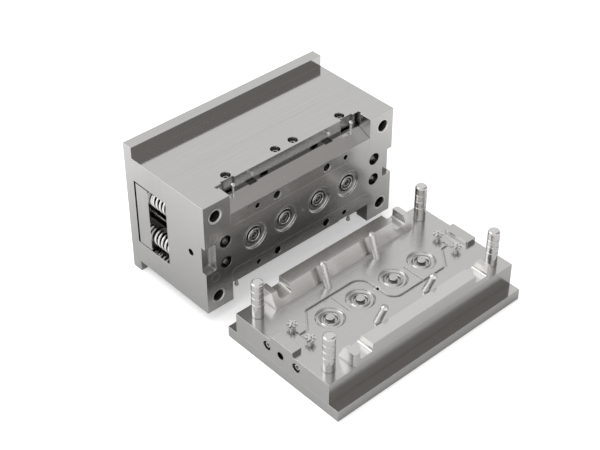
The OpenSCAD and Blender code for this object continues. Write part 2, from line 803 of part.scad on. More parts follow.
module locating_ring() {
  color("dimgray") in_fixed() difference() {
    cylinder(h = ring_depth, r = ring_r);
    translate([0, 0, -1]) cylinder(h = ring_depth + 2, r = ring_bore_r);
  }
}

module fixed_half_screws() {
  color("dimgray") in_fixed() for (x = fixed_screw_x, s = [-1, 1])
    translate([x, s * fixed_screw_y, 1]) screw_z(plate_screw_d, clamp_thickness + 23);
}

module heel_screws() {
  color("dimgray") in_fixed() for (x = heel_screw_x, s = [-1, 1])
    translate([x, s * heel_screw_y, clamp_thickness + 0.5]) screw_z(heel_screw_d, cavity_thickness + 13);
}

module fixed_coolant_nipples() {
  color("gainsboro") in_fixed() for (s = [-1, 1], e = [-1, 1])
    translate([e * (half_length - 9), s * port_off, port_z]) rotate([0, e * 90, 0])
      nipple(4.6, 2.8, 6.5);
}

moving_clamp_plate();
spacer_rail_top();
spacer_rail_bottom();
core_plate();
core_inserts();
core_insert_screws();
tube_cores();
guide_bushes();
slide_rods();
slide_stop_pins();
stop_buttons();
return_springs();
moving_half_screws();
moving_coolant_nipples();
slide_top();
side_cores_top();
slide_springs_top();
slide_bottom();
side_cores_bottom();
slide_springs_bottom();
ejector_retainer_plate();
ejector_plate();
ejector_pins();
return_pins();
sprue_puller();
ejector_screws();
fixed_clamp_plate();
cavity_plate();
heel_block_back();
heel_block_front();
cavity_inserts();
leader_pins();
angle_pins();
tube_posts();
sprue_bush();
locating_ring();
fixed_half_screws();
heel_screws();
fixed_coolant_nipples();
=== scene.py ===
"""Looks of an opened two-plate injection mould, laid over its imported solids."""

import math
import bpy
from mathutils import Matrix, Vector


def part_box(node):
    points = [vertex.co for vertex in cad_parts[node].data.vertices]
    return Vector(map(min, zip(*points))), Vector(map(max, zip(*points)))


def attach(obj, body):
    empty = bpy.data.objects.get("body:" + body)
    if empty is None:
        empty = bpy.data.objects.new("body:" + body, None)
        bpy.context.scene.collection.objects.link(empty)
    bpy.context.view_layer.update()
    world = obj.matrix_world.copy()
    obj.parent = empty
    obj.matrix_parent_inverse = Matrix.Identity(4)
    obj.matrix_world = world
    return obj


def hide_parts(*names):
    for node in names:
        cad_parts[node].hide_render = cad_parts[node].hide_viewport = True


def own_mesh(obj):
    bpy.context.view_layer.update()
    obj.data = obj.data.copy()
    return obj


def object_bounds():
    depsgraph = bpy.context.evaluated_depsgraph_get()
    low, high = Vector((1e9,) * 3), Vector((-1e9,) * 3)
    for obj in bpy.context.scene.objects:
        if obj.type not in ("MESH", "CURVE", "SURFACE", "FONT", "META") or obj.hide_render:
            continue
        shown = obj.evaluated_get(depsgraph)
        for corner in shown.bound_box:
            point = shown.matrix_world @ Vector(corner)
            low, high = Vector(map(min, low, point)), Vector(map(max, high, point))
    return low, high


bl_info = {
    "name": "Injection Mould",
    "version": (1, 0, 0),
    "blender": (4, 5, 0),
    "location": "3D View > Sidebar > Mould",
    "description": "Finishes the plates, slides, pins and springs of an opened injection mould",
    "category": "Object",
}

import bmesh
import bpy
from mathutils import Matrix, Vector

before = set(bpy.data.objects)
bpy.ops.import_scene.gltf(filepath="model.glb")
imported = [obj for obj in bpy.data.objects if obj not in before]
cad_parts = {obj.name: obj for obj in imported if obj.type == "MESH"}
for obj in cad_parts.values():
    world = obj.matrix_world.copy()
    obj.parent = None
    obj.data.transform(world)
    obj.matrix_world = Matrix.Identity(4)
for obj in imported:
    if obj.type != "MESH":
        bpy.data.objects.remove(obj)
CAD_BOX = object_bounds()

CLAMP_PLATES = ("moving_clamp_plate", "fixed_clamp_plate")
SPACER_RAILS = ("spacer_rail_top", "spacer_rail_bottom")
EJECTOR_PLATES = ("ejector_retainer_plate", "ejector_plate")
PARTING_PLATES = ("core_plate", "cavity_plate")
SLIDES = ("slide_top", "slide_bottom")
HEEL_BLOCKS = ("heel_block_back", "heel_block_front")
INSERTS = ("core_inserts", "cavity_inserts")
POLISHED_PINS = ("leader_pins", "slide_rods")
SATIN_PINS = ("angle_pins", "slide_stop_pins")
SMALL_BRIGHT = (
    "tube_posts", "tube_cores", "sprue_bush", "sprue_puller", "ejector_pins",
    "side_cores_top", "side_cores_bottom",
)
COOLANT_FITTINGS = ("moving_coolant_nipples", "fixed_coolant_nipples")
SCREWS = (
    "core_insert_screws", "moving_half_screws", "ejector_screws", "fixed_half_screws",
    "heel_screws", "stop_buttons", "locating_ring",
)
SLIDE_SPRINGS = ("slide_springs_top", "slide_springs_bottom")

# Fineness of the grinding marks along X, Y and Z, per metre.
LENGTHWISE_MARKS = (5, 620, 620)
UPRIGHT_MARKS = (620, 620, 5)
# Fineness of the turning marks and of the clouds of duller metal, per metre.
TURNING_MARKS = 420
DULL_CLOUDS = 45
# A face looks along an axis where its normal has at least this share of it.
SQUARE_ON = 0.7
# An edge starts to get its wear and painted highlight, and has them fully, at these cosines between
# its rounded and its flat normal.
WEAR_AND_HIGHLIGHT_SPAN = (0.995, 0.85)
# Lighter colour of the edges: partly wear, partly a painted highlight.
WEAR_AND_HIGHLIGHT_COLOUR = (0.84, 0.84, 0.835)
# A place open to less than this share of its surroundings gets the darkest painted shade.
FULLY_COVERED = 0.02
# No steel is smoother than this roughness.
SMOOTHEST = 0.02
# The walls of the slides' channels are those deeper than this behind the parting face.
CHANNEL_DEPTH = 0.01
# The return pins turn dark from this far before the back of the core plate.
DARK_START = 0.003

STEPS_PER_TURN = 40
WIRE_SIDES = 14
CLOSED_TURNS = 0.8
# Angle at which the wire of the upper springs starts. The lower ones start at minus it.
WIRE_START = 0.9

# The studio's dark curtain hangs up to the front right, its light panel up at the back left.
# Their edges are given as cosines of the angle from their middles.
CURTAIN_DIRECTION = Vector((0.60, -0.45, 0.66)).normalized()
CURTAIN_EDGE = 0.70
CURTAIN_TINT = (1, 0.955, 0.92)
PANEL_DIRECTION = Vector((-0.525, 0.577, 0.625)).normalized()
PANEL_EDGE = 0.84
PANEL_FULL = 0.97
WHITE = (1, 1, 1)
LAMP_PLACE = Vector((-0.5, 0.3, 2.6))
LAMP_SIZE = 2.2
FLOOR_HALF_SIDE = 12
FLOOR_DROP = 0.0002
SENSOR_WIDTH = 36
CAMERA_REACH = 50


class MouldFinish(bpy.types.PropertyGroup):
    """Colours, dullness and edges of the steel"""

    plate_colour: bpy.props.FloatVectorProperty(
        name="Plate colour", description="Colour of the ground plates", subtype="COLOR",
        default=(0.60, 0.595, 0.585), min=0, max=1)
    parting_colour: bpy.props.FloatVectorProperty(
        name="Parting plate colour", subtype="COLOR",
        description="Colour of the core plate, the cavity plate, the slides and the return pins",
        default=(0.60, 0.595, 0.585), min=0, max=1)
    heel_colour: bpy.props.FloatVectorProperty(
        name="Heel colour", description="Colour of the heel blocks", subtype="COLOR",
        default=(0.69, 0.68, 0.665), min=0, max=1)
    insert_colour: bpy.props.FloatVectorProperty(
        name="Insert colour", description="Colour of the round inserts", subtype="COLOR",
        default=(0.62, 0.61, 0.60), min=0, max=1)
    pin_colour: bpy.props.FloatVectorProperty(
        name="Pin colour", description="Colour of the polished pins and the small bright pieces",
        subtype="COLOR", default=(0.74, 0.73, 0.72), min=0, max=1)
    bush_colour: bpy.props.FloatVectorProperty(
        name="Bush colour", description="Colour of the bushes, satin pins and coolant fittings",
        subtype="COLOR", default=(0.84, 0.83, 0.82), min=0, max=1)
    spring_colour: bpy.props.FloatVectorProperty(
        name="Spring colour", description="Colour of the spring wire", subtype="COLOR",
        default=(0.92, 0.91, 0.90), min=0, max=1)
    screw_colour: bpy.props.FloatVectorProperty(
        name="Screw colour", description="Colour of the screws and the hardened rings",
        subtype="COLOR", default=(0.16, 0.16, 0.165), min=0, max=1)
    dark_fill_colour: bpy.props.FloatVectorProperty(
        name="Dark fill colour", description="Colour painted on the ejector plates' rims and on the return pins behind the core plate",
        subtype="COLOR", default=(0.035, 0.033, 0.03), min=0, max=1)
    gap_shade_line: bpy.props.FloatProperty(
        name="Gap shade line", description="Width of the painted shade along the ejector plates' rims",
        default=0.001, min=0, max=0.005, unit="LENGTH", precision=4)
    plate_roughness: bpy.props.FloatProperty(
        name="Plate roughness", description="How dull the ground plates are",
        default=0.12, min=SMOOTHEST, max=1)
    parting_roughness: bpy.props.FloatProperty(
        name="Parting face roughness",
        description="How dull the parting plates, slides, heel blocks and return pins are",
        default=0.21, min=SMOOTHEST, max=1)
    insert_roughness: bpy.props.FloatProperty(
        name="Insert roughness", description="How dull the round inserts are",
        default=0.16, min=SMOOTHEST, max=1)
    polished_roughness: bpy.props.FloatProperty(
        name="Polished pin roughness", description="How dull the leader pins and rods are",
        default=0.06, min=SMOOTHEST, max=1)
    satin_roughness: bpy.props.FloatProperty(
        name="Satin pin roughness", description="How dull the angle pins and stop pins are",
        default=0.27, min=SMOOTHEST, max=1)
    bush_roughness: bpy.props.FloatProperty(
        name="Bush roughness", description="How dull the guide bushes are",
        default=0.42, min=SMOOTHEST, max=1)
    small_roughness: bpy.props.FloatProperty(
        name="Small piece roughness", description="How dull the posts and small cores are",
        default=0.13, min=SMOOTHEST, max=1)
    fitting_roughness: bpy.props.FloatProperty(
        name="Fitting roughness", description="How dull the coolant fittings are",
        default=0.3, min=SMOOTHEST, max=1)
    screw_roughness: bpy.props.FloatProperty(
        name="Screw roughness", description="How dull the screws and rings are",
        default=0.34, min=SMOOTHEST, max=1)
    spring_roughness: bpy.props.FloatProperty(
        name="Spring roughness", description="How dull the return springs are",
        default=0.25, min=SMOOTHEST, max=1)
    slide_spring_roughness: bpy.props.FloatProperty(
        name="Slide spring roughness", description="How dull the slides' springs are",
        default=0.2, min=SMOOTHEST, max=1)
    channel_shade: bpy.props.FloatProperty(
        name="Channel shade", description="Brightness left to the walls of the slides' channels",
        default=0.62, min=0, max=1)
    plate_edge: bpy.props.FloatProperty(
        name="Plate edge", description="Width of the broken edges of the plates and inserts",
        default=0.00065, min=0, max=0.002, unit="LENGTH", precision=5)
    small_edge: bpy.props.FloatProperty(
        name="Small edge", description="Width of the broken edges of the small pieces",
        default=0.0004, min=0, max=0.001, unit="LENGTH", precision=5)


class MouldSprings(bpy.types.PropertyGroup):
    """Sizes of the return springs"""

    wire: bpy.props.FloatProperty(
        name="Wire", description="Thickness of the spring wire",
        default=0.0042, min=0.001, max=0.006, unit="LENGTH", precision=4)
    outside: bpy.props.FloatProperty(
        name="Outside", description="Outside diameter of each return spring",
        default=0.031, min=0.02, max=0.04, unit="LENGTH", precision=4)
    turns: bpy.props.FloatProperty(
        name="Turns", description="Number of turns of each return spring",
        default=9.5, min=4, max=16)


class MouldStage(bpy.types.PropertyGroup):
    """Floor, light and camera"""

    floor_white: bpy.props.FloatProperty(
        name="Floor white", description="How pale the floor's paint is",
        default=0.86, min=0, max=1)
    floor_glow: bpy.props.FloatProperty(
        name="Floor glow", description="Light added to the floor where the camera sees it",
        default=0.42, min=0, max=1)
    floor_near: bpy.props.FloatProperty(
        name="Floor near", description="Brightness of the near floor as the steel mirrors it",
        default=0.6, min=0, max=1)
    floor_far: bpy.props.FloatProperty(
        name="Floor far", description="Brightness of the far floor as the steel mirrors it",
        default=1.0, min=0, max=1)
    floor_reach: bpy.props.FloatProperty(
        name="Floor reach", description="How far from the mould the floor turns bright",
        default=0.34, min=0, max=2, unit="LENGTH")
    bright_sky: bpy.props.FloatProperty(
        name="Bright walls", description="Strength of the studio's bright walls and ceiling",
        default=0.84, min=0, max=3)
    dark_sky: bpy.props.FloatProperty(
        name="Dark curtain", description="Strength of the studio at the middle of its dark curtain",
        default=0.255, min=0, max=3)
    left_panel: bpy.props.FloatProperty(
        name="Left panel", description="Light added by the panel at the back left",
        default=1.0, min=0, max=5)
    lamp_power: bpy.props.FloatProperty(
        name="Overhead lamp", description="Power of the overhead lamp, in watts",
        default=22, min=0, max=500)
    camera_place: bpy.props.FloatVectorProperty(
        name="Camera place", description="Where the camera stands", subtype="TRANSLATION",
        unit="LENGTH", default=(-1.16974, -1.22773, 1.47408))
    camera_heading: bpy.props.FloatProperty(
        name="Camera heading", description="Turn of the view from the mould's length",
        subtype="ANGLE", default=math.radians(47.679))
    camera_drop: bpy.props.FloatProperty(
        name="Camera drop", description="How far the view points down",
        subtype="ANGLE", default=math.radians(38.66))
    lens: bpy.props.FloatProperty(
        name="Lens", description="Focal length in millimetres", default=82.42, min=20, max=200)


def add_node(tree, kind, x, y, **settings):
    """A new shader node at a place in the node editor."""
    node = tree.nodes.new(kind)
    node.location = (x, y)
    for name, value in settings.items():
        setattr(node, name, value)
    return node


def map_range(tree, value, span, result, x, y, curve="LINEAR"):
    """Turns a value that runs over the span into one that runs over the result."""
    node = add_node(tree, "ShaderNodeMapRange", x, y, interpolation_type=curve)
    node.inputs["From Min"].default_value, node.inputs["From Max"].default_value = span
    node.inputs["To Min"].default_value, node.inputs["To Max"].default_value = result
    tree.links.new(value, node.inputs["Value"])
    return node.outputs["Result"]


def is_past(tree, value, side, limit, x, y):
    """1 where the value is on the given side of the limit, and 0 elsewhere."""
    node = add_node(tree, "ShaderNodeMath", x, y, operation=side)
    node.inputs[1].default_value = limit
    tree.links.new(value, node.inputs[0])
    return node.outputs[0]


def split_axes(tree, vector, x, y):
    """The X, Y and Z outputs of a vector, by name."""
    node = add_node(tree, "ShaderNodeSeparateXYZ", x, y)
    tree.links.new(vector, node.inputs[0])
    return node.outputs


def mix_colour(tree, share, metal, colour, x, y, blend_type="MIX"):
    """Lays a fixed colour over the metal by the given share."""
    node = add_node(tree, "ShaderNodeMix", x, y, data_type="RGBA", blend_type=blend_type)
    node.inputs["B"].default_value = (*colour, 1)
    tree.links.new(share, node.inputs["Factor"])
    tree.links.new(metal, node.inputs["A"])
    return node.outputs["Result"]


def two_tones(tree, value, low, high, x, y):
    """Colours a value between two tones, each given as (position, colour)."""
    node = add_node(tree, "ShaderNodeValToRGB", x, y)
    for stop, (position, colour) in zip(node.color_ramp.elements, (low, high)):
        stop.position = position
        stop.color = (*colour, 1)
    tree.links.new(value, node.inputs["Fac"])
    return node.outputs["Color"]


def shaded(colour, share):
    """The colour made lighter by a share of itself, or darker by a negative one."""
    return [min(1, c * (1 + share)) for c in colour]


def noise(tree, place, x, y, fineness, detail, roughness=0.5):
    """Noise laid through the piece, with a fineness per metre."""
    node = add_node(tree, "ShaderNodeTexNoise", x, y)
    node.inputs["Scale"].default_value = fineness
    node.inputs["Detail"].default_value = detail
    node.inputs["Roughness"].default_value = roughness
    tree.links.new(place, node.inputs["Vector"])
    return node.outputs["Fac"]


def grinding_marks(tree, fineness, x, y):
    """Noise drawn out along one direction of the piece, as grinding leaves it."""
    place = add_node(tree, "ShaderNodeTexCoord", x, y)
    stretch = add_node(tree, "ShaderNodeMapping", x + 180, y)
    stretch.inputs["Scale"].default_value = fineness
    tree.links.new(place.outputs["Object"], stretch.inputs["Vector"])
    return noise(tree, stretch.outputs["Vector"], x + 360, y, fineness=1, detail=5,
                 roughness=0.62)


def rounded_worn_highlit_edges(tree, tones, x, y, width):
    """Rounds the sharp edges in the shading and paints them lighter: partly wear from handling,
    partly a painted highlight.
    """
    rounding = add_node(tree, "ShaderNodeBevel", x, y, samples=6)
    rounding.inputs["Radius"].default_value = width
    facing = add_node(tree, "ShaderNodeNewGeometry", x, y - 160)
    agree = add_node(tree, "ShaderNodeVectorMath", x + 180, y, operation="DOT_PRODUCT")
    tree.links.new(rounding.outputs["Normal"], agree.inputs[0])
    tree.links.new(facing.outputs["Normal"], agree.inputs[1])
    wear_and_highlight = map_range(tree, agree.outputs["Value"], WEAR_AND_HIGHLIGHT_SPAN, (0, 1), x + 360, y)
    worn_and_highlit = mix_colour(tree, wear_and_highlight, tones, WEAR_AND_HIGHLIGHT_COLOUR, x + 540, y)
    return rounding.outputs["Normal"], worn_and_highlit


def painted_corner_shade(tree, tones, x, y, reach, unshaded_from, darkest):
    """Painted shade that darkens the metal in holes, grooves and inner corners, by how open each
    place is.
    """
    cover = add_node(tree, "ShaderNodeAmbientOcclusion", x, y, samples=8)
    cover.inputs["Distance"].default_value = reach
    depth = map_range(tree, cover.outputs["AO"], (FULLY_COVERED, unshaded_from), (darkest, 1),
                      x + 180, y)
    darken = add_node(tree, "ShaderNodeMix", x + 360, y, data_type="RGBA", blend_type="MULTIPLY")
    darken.inputs["Factor"].default_value = 1
    tree.links.new(tones, darken.inputs["A"])
    tree.links.new(depth, darken.inputs["B"])
    return darken.outputs["Result"]


def fine_relief(tree, marks, normal, x, y, strength, height):
    """The marks as a shallow relief on the rounded edges."""
    relief = add_node(tree, "ShaderNodeBump", x, y)
    relief.inputs["Strength"].default_value = strength
    relief.inputs["Distance"].default_value = height
    tree.links.new(marks, relief.inputs["Height"])
    tree.links.new(normal, relief.inputs["Normal"])
    return relief.outputs["Normal"]


def bare_steel(name):
    """A new material of plain metal, with its node tree and its shader."""
    material = bpy.data.materials.new(name)
    material.use_nodes = True
    shader = material.node_tree.nodes["Principled BSDF"]
    shader.inputs["Metallic"].default_value = 1
    return material, material.node_tree, shader


def ground_steel(name, colour, roughness, edge, marks_strength=1.0, spread=0.03,
                 unshaded_from=0.46):
    """Ground steel: marks run along the piece on its long faces and upright on its ends."""
    material, tree, shader = bare_steel(name)
    facing = add_node(tree, "ShaderNodeNewGeometry", -1500, -500)
    sideways = split_axes(tree, facing.outputs["Normal"], -1320, -500)["X"]
    either_side = add_node(tree, "ShaderNodeMath", -1140, -500, operation="ABSOLUTE")
    tree.links.new(sideways, either_side.inputs[0])
    is_end = is_past(tree, either_side.outputs[0], "GREATER_THAN", SQUARE_ON, -960, -500)
    choose = add_node(tree, "ShaderNodeMix", -780, 100, data_type="FLOAT")
    tree.links.new(is_end, choose.inputs["Factor"])
    tree.links.new(grinding_marks(tree, LENGTHWISE_MARKS, -1500, 300), choose.inputs["A"])
    tree.links.new(grinding_marks(tree, UPRIGHT_MARKS, -1500, -100), choose.inputs["B"])
    marks = choose.outputs["Result"]

    low = (0.3, shaded(colour, -0.045 * marks_strength))
    high = (0.7, shaded(colour, 0.035 * marks_strength))
    tones = two_tones(tree, marks, low, high, -520, 300)
    # Painted highlight, with some wear, along the edges.
    normal, worn_and_highlit = rounded_worn_highlit_edges(tree, tones, -1500, 800, width=edge)
    # Painted shade in holes, grooves and inner corners.
    metal = painted_corner_shade(tree, worn_and_highlit, -520, 600, reach=0.012, unshaded_from=unshaded_from,
                         darkest=0.2)
    dullness = (max(SMOOTHEST, roughness - spread), roughness + spread)
    dull = map_range(tree, marks, (0, 1), dullness, -520, 0)
    relief = fine_relief(tree, marks, normal, -260, -250, strength=0.015 * marks_strength,
                         height=0.0004)
    tree.links.new(metal, shader.inputs["Base Color"])
    tree.links.new(dull, shader.inputs["Roughness"])
    tree.links.new(relief, shader.inputs["Normal"])
    return material


def turned_steel(name, colour, roughness, edge, reach=0.005, darkest=0.25):
    """Turned or drawn steel: fine even marks with small clouds of duller metal."""
    material, tree, shader = bare_steel(name)
    place = add_node(tree, "ShaderNodeTexCoord", -1100, 0).outputs["Object"]
    marks = noise(tree, place, -900, 150, fineness=TURNING_MARKS, detail=4)
    clouds = noise(tree, place, -900, -150, fineness=DULL_CLOUDS, detail=3)

    low, high = (0.35, shaded(colour, -0.08)), (0.7, shaded(colour, 0.05))
    tones = two_tones(tree, marks, low, high, -520, 250)
    # Painted highlight, with some wear, along the edges.
    normal, worn_and_highlit = rounded_worn_highlit_edges(tree, tones, -1500, 800, width=edge)
    # Painted shade in holes, grooves and inner corners.
    metal = painted_corner_shade(tree, worn_and_highlit, -520, 600, reach=reach, unshaded_from=0.8,
                         darkest=darkest)
    dullness = (max(SMOOTHEST, roughness - 0.04), roughness + 0.06)
    dull = map_range(tree, clouds, (0, 1), dullness, -520, 0)
    relief = fine_relief(tree, marks, normal, -260, -250, strength=0.03, height=0.0002)
    tree.links.new(metal, shader.inputs["Base Color"])
    tree.links.new(dull, shader.inputs["Roughness"])
    tree.links.new(relief, shader.inputs["Normal"])
    return material


def darken_beyond(steel, colour, limits):
    """Paints the metal dark past each limit, given as (axis, side, place)."""
    tree = steel.node_tree
    base = tree.nodes["Principled BSDF"].inputs["Base Color"]
    metal = base.links[0].from_socket
    place = add_node(tree, "ShaderNodeTexCoord", -1300, 1200).outputs["Object"]
    axes = split_axes(tree, place, -1100, 1200)
    for k, (axis, side, limit) in enumerate(limits):
        past = is_past(tree, axes[axis], side, limit, -900 + 400 * k, 1200)
        metal = mix_colour(tree, past, metal, colour, -700 + 400 * k, 1200)
    tree.links.new(metal, base)


def shade_channels(steel, share, behind):
    """Darkens with painted shade the forward faces that lie behind a place, as on the slides'
    channel walls.
    """
    tree = steel.node_tree
    base = tree.nodes["Principled BSDF"].inputs["Base Color"]
    metal = base.links[0].from_socket
    place = add_node(tree, "ShaderNodeTexCoord", -700, 1300).outputs["Object"]
    facing = add_node(tree, "ShaderNodeNewGeometry", -700, 1000).outputs["Normal"]
    depth = split_axes(tree, place, -500, 1300)["Y"]
    forward = split_axes(tree, facing, -500, 1000)["Y"]
    both = add_node(tree, "ShaderNodeMath", -100, 1150, operation="MULTIPLY")
    deep = is_past(tree, depth, "GREATER_THAN", behind, -300, 1300)
    front = is_past(tree, forward, "LESS_THAN", -SQUARE_ON, -300, 1000)
    tree.links.new(deep, both.inputs[0])
    tree.links.new(front, both.inputs[1])
    wall_shade = mix_colour(tree, both.outputs[0], metal, [share] * 3, 100, 1150, "MULTIPLY")
    tree.links.new(wall_shade, base)


def give_finish(piece, material):
    """Puts one material on every slot of a piece."""
    if not piece.material_slots:
        piece.data.materials.append(material)
    for slot in piece.material_slots:
        slot.material = material


def dress(nodes, material):
    """Puts one material on each of the named solids."""
    for node in nodes:
        give_finish(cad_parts[node], material)


class MOULD_OT_clamp_plates(bpy.types.Operator):
    """Finish the two clamp plates"""

    bl_idname = "mould.clamp_plates"
    bl_label = "Clamp Plates"

    def execute(self, context):
        finish = context.scene.mould_finish
        steel = ground_steel("clamp_plate_steel", finish.plate_colour, finish.plate_roughness,
                             finish.plate_edge)
        dress(CLAMP_PLATES, steel)
        return {"FINISHED"}


class MOULD_OT_spacer_rails(bpy.types.Operator):
    """Finish the two spacer rails"""

    bl_idname = "mould.spacer_rails"
    bl_label = "Spacer Rails"

    def execute(self, context):
        finish = context.scene.mould_finish
        steel = ground_steel("rail_steel", finish.plate_colour, finish.plate_roughness,
                             finish.plate_edge)
        dress(SPACER_RAILS, steel)
        return {"FINISHED"}


class MOULD_OT_ejector_plates(bpy.types.Operator):
    """Finish the two ejector plates, with painted shade along their rims, where the gap around them
    lies
    """

    bl_idname = "mould.ejector_plates"
    bl_label = "Ejector Plates"

    def execute(self, context):
        finish = context.scene.mould_finish
        steel = ground_steel("ejector_plate_steel", finish.plate_colour,
                             finish.plate_roughness, finish.plate_edge)
        low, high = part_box("ejector_plate")
        line = finish.gap_shade_line
        # Painted shade: a dark rim where the gap around the plates lies in shadow.
        darken_beyond(steel, finish.dark_fill_colour, (
            ("Y", "GREATER_THAN", high.y - line),
            ("Z", "GREATER_THAN", high.z - line),
            ("Z", "LESS_THAN", low.z + line),
        ))
        dress(EJECTOR_PLATES, steel)
        return {"FINISHED"}


class MOULD_OT_parting_plates(bpy.types.Operator):
    """Finish the core plate and the cavity plate"""

    bl_idname = "mould.parting_plates"
    bl_label = "Core and Cavity Plates"

    def execute(self, context):
        finish = context.scene.mould_finish
        steel = ground_steel("parting_plate_steel", finish.parting_colour,
                             finish.parting_roughness, finish.plate_edge,
                             marks_strength=0.8, spread=0.04, unshaded_from=0.68)
        low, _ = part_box("core_plate")
        shade_channels(steel, finish.channel_shade, low.y + CHANNEL_DEPTH)
        dress(PARTING_PLATES, steel)
        return {"FINISHED"}


class MOULD_OT_slides(bpy.types.Operator):
    """Finish the two slides"""

    bl_idname = "mould.slides"
    bl_label = "Slides"

    def execute(self, context):
        finish = context.scene.mould_finish
        steel = ground_steel("slide_steel", finish.parting_colour, finish.parting_roughness,
                             finish.plate_edge, marks_strength=0.7, spread=0.04)
        dress(SLIDES, steel)
        return {"FINISHED"}


class MOULD_OT_heel_blocks(bpy.types.Operator):
    """Finish the two heel blocks that lock the slides"""

    bl_idname = "mould.heel_blocks"
    bl_label = "Heel Blocks"

    def execute(self, context):
        finish = context.scene.mould_finish
        steel = ground_steel("heel_steel", finish.heel_colour, finish.parting_roughness,
                             finish.plate_edge, marks_strength=0.6, spread=0.04,
                             unshaded_from=0.6)
        dress(HEEL_BLOCKS, steel)
        return {"FINISHED"}


class MOULD_OT_inserts(bpy.types.Operator):
    """Finish the round core inserts and cavity inserts"""

    bl_idname = "mould.inserts"
    bl_label = "Round Inserts"

    def execute(self, context):
        finish = context.scene.mould_finish
        steel = turned_steel("insert_steel", finish.insert_colour, finish.insert_roughness,
                             finish.plate_edge)
        dress(INSERTS, steel)
        return {"FINISHED"}


class MOULD_OT_polished_pins(bpy.types.Operator):
    """Finish the leader pins and the slides' rods"""

    bl_idname = "mould.polished_pins"
    bl_label = "Leader Pins and Rods"

    def execute(self, context):
        finish = context.scene.mould_finish
        steel = turned_steel("pin_steel", finish.pin_colour, finish.polished_roughness,
                             finish.small_edge)
        dress(POLISHED_PINS, steel)
        return {"FINISHED"}


class MOULD_OT_satin_pins(bpy.types.Operator):
    """Finish the angle pins and the slides' stop pins"""

    bl_idname = "mould.satin_pins"
    bl_label = "Angle Pins and Stop Pins"

    def execute(self, context):
        finish = context.scene.mould_finish
        steel = turned_steel("satin_pin_steel", finish.bush_colour, finish.satin_roughness,
                             finish.small_edge)
        dress(SATIN_PINS, steel)
        return {"FINISHED"}


class MOULD_OT_return_pins(bpy.types.Operator):
    """Finish the return pins: plain in the core plate, dark behind it"""

    bl_idname = "mould.return_pins"
    bl_label = "Return Pins"

    def execute(self, context):
        finish = context.scene.mould_finish
        steel = ground_steel("return_pin_steel", finish.parting_colour,
                             finish.parting_roughness, finish.small_edge,
                             marks_strength=0.8, spread=0.04)
        _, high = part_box("core_plate")
        darken_beyond(steel, finish.dark_fill_colour, (("Y", "GREATER_THAN", high.y - DARK_START),))
        dress(("return_pins",), steel)
        return {"FINISHED"}


class MOULD_OT_guide_bushes(bpy.types.Operator):
    """Finish the four guide bushes"""

    bl_idname = "mould.guide_bushes"
    bl_label = "Guide Bushes"

    def execute(self, context):
        finish = context.scene.mould_finish
        steel = turned_steel("bush_steel", finish.bush_colour, finish.bush_roughness,
                             finish.small_edge, reach=0.035, darkest=0.06)
        dress(("guide_bushes",), steel)
        return {"FINISHED"}


class MOULD_OT_small_pieces(bpy.types.Operator):
    """Finish the posts, small cores, ejector pins and sprue bush"""

    bl_idname = "mould.small_pieces"
    bl_label = "Small Bright Pieces"

    def execute(self, context):
        finish = context.scene.mould_finish
        steel = turned_steel("small_piece_steel", finish.pin_colour, finish.small_roughness,
                             finish.small_edge)
        dress(SMALL_BRIGHT, steel)
        return {"FINISHED"}


class MOULD_OT_coolant_fittings(bpy.types.Operator):
    """Finish the coolant fittings sunk into the plates"""

    bl_idname = "mould.coolant_fittings"
    bl_label = "Coolant Fittings"

    def execute(self, context):
        finish = context.scene.mould_finish
        steel = turned_steel("fitting_steel", finish.bush_colour, finish.fitting_roughness,
                             finish.small_edge, reach=0.002, darkest=0.5)
        dress(COOLANT_FITTINGS, steel)
        return {"FINISHED"}


class MOULD_OT_screws(bpy.types.Operator):
    """Finish the screws, stop buttons and locating ring"""

    bl_idname = "mould.screws"
    bl_label = "Screws and Rings"

    def execute(self, context):
        finish = context.scene.mould_finish
        steel = turned_steel("screw_steel", finish.screw_colour, finish.screw_roughness,
                             finish.small_edge)
        dress(SCREWS, steel)
        return {"FINISHED"}


def wire_height(turn, turns, wire, length):
    """Height of the wire's middle: nearly level at both closed ends, even between them."""
    end_rise = wire / 2
    left = turns - turn
    if turn < CLOSED_TURNS:
        return wire / 2 + end_rise * turn / CLOSED_TURNS
    if left < CLOSED_TURNS:
        return length - wire / 2 - end_rise * left / CLOSED_TURNS
    open_share = (turn - CLOSED_TURNS) / (turns - 2 * CLOSED_TURNS)
    return wire / 2 + end_rise + (length - wire - 2 * end_rise) * open_share


def wound_spring(name, radius, wire, length, turns, start_angle):
    """A coil along +Z from z = 0, with its first and last turns closed and ground flat."""
    mesh = bmesh.new()
    steps = round(turns * STEPS_PER_TURN)
    rings = []
    for i in range(steps + 1):
        turn = turns * i / steps
        angle = 2 * math.pi * turn + start_angle
        height = wire_height(turn, turns, wire, length)
        ring = []
        for k in range(WIRE_SIDES):
            around = 2 * math.pi * k / WIRE_SIDES
            out = radius + wire / 2 * math.cos(around)
            z = min(length, max(0.0, height + wire / 2 * math.sin(around)))
            ring.append(mesh.verts.new((out * math.cos(angle), out * math.sin(angle), z)))
        rings.append(ring)
    for ring, following in zip(rings, rings[1:]):
        for k in range(WIRE_SIDES):
            after = (k + 1) % WIRE_SIDES
            face = mesh.faces.new((ring[k], following[k], following[after], ring[after]))
            face.smooth = True
    mesh.faces.new(rings[0])
    mesh.faces.new(list(reversed(rings[-1])))
    bmesh.ops.recalc_face_normals(mesh, faces=mesh.faces)
    data = bpy.data.meshes.new(name)
    mesh.to_mesh(data)
    mesh.free()
    return data


